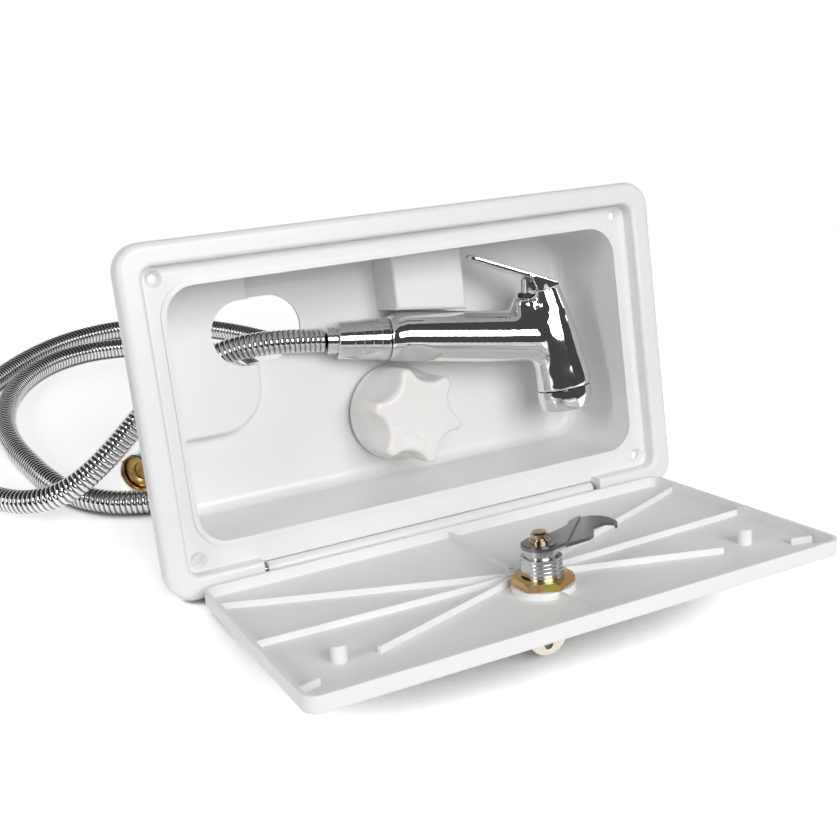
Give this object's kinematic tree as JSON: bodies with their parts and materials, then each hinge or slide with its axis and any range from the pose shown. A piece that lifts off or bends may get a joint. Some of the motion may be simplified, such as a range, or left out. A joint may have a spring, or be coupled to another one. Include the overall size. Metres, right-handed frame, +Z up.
{
  "type": "external shower box",
  "caption": "Recessed outdoor shower box with a lockable drop-down lid, a valve knob and a trigger hand sprayer on a ribbed metal hose.",
  "frame": {"origin": "centre of the four wall screws, on the flange's back plane, which is the outer face of the wall", "axes": "+X to the right seen from outside, +Y into the wall, +Z up"},
  "size_m": [0.413, 0.5593, 0.2221],
  "materials": {
    "shell_plastic": "moulded, satin gloss",
    "lid_plastic": "moulded, satin gloss",
    "knob_plastic": "slightly translucent, glossy",
    "sprayer_chrome": "polished",
    "lever_chrome": "polished",
    "fitting_chrome": "polished",
    "hose_steel": "polished strip-wound",
    "lock_chrome": "bright",
    "zinc_gold": "yellow passivated zinc",
    "cam_steel": "nickel plated",
    "key_nickel": "pale nickel plated",
    "brass": "turned",
    "pin_steel": "plain",
    "rubber": "matt",
    "face_plastic": "matt"
  },
  "bodies": {
    "box": {"box_shell": "shell_plastic", "hinge_pins": "pin_steel", "valve_cartridge": "brass", "valve_nut": "brass", "valve_gasket": "rubber", "valve_body": "brass", "hose_tray_run": "hose_steel", "hose_loops": "hose_steel", "end_ferrule": "fitting_chrome", "end_nut": "fitting_chrome", "end_washer": "rubber"},
    "lid": {"lid_shell": "lid_plastic", "lock_body": "lock_chrome", "lock_nut": "zinc_gold"},
    "lock": {"lock_plug": "brass", "lock_key": "key_nickel", "lock_cam": "cam_steel", "cam_washer": "cam_steel", "cam_nut": "brass"},
    "knob": {"knob": "knob_plastic", "valve_spindle": "brass"},
    "sprayer": {"sprayer_body": "sprayer_chrome", "spray_ring": "sprayer_chrome", "spray_plate": "face_plastic", "plunger_seal": "rubber", "plunger_spring": "pin_steel", "lever_pin": "pin_steel", "hose_nut": "fitting_chrome", "hose_washer": "rubber", "hose_ferrule": "fitting_chrome"},
    "lever": {"lever": "lever_chrome"},
    "plunger": {"plunger": "pin_steel"}
  },
  "joints": [
    {"name": "lid_hinge", "type": "hinge", "parent": "box", "child": "lid", "pos_m": [0, -0.0054, -0.0852], "axis": [1, 0, 0], "range_deg": [-93.77, 0]},
    {"name": "lock_turn", "type": "hinge", "parent": "lid", "child": "lock", "pos_m": [0, -0.11448, -0.09058], "axis": [0, 0.0658, -0.9978], "range_deg": [0, 90]},
    {"name": "knob_turn", "type": "hinge", "parent": "box", "child": "knob", "pos_m": [0.00565, 0.015, -0.0255], "axis": [0, -1, 0], "range_deg": [0, 90]},
    {"name": "sprayer_out", "type": "slide", "parent": "box", "child": "sprayer", "axis": [0, -1, 0], "range_m": [0, 0.06]},
    {"name": "lever_press", "type": "hinge", "parent": "sprayer", "child": "lever", "pos_m": [0.09639, 0.0196, 0.0369], "axis": [-0.1961, -0.9806, 0], "range_deg": [0, 9.5], "stiffness_Nm_per_rad": 0.6, "springref_deg": -8.59},
    {"name": "plunger_slide", "type": "slide", "parent": "sprayer", "child": "plunger", "axis": [-0.1193, 0.0239, -0.9926], "range_m": [0, 0.00166], "deforming": ["plunger_spring"]}
  ],
  "couplings": [
    {"joint": "plunger_slide", "follows": "lever_press", "m_per_rad": 0.01}
  ]
}
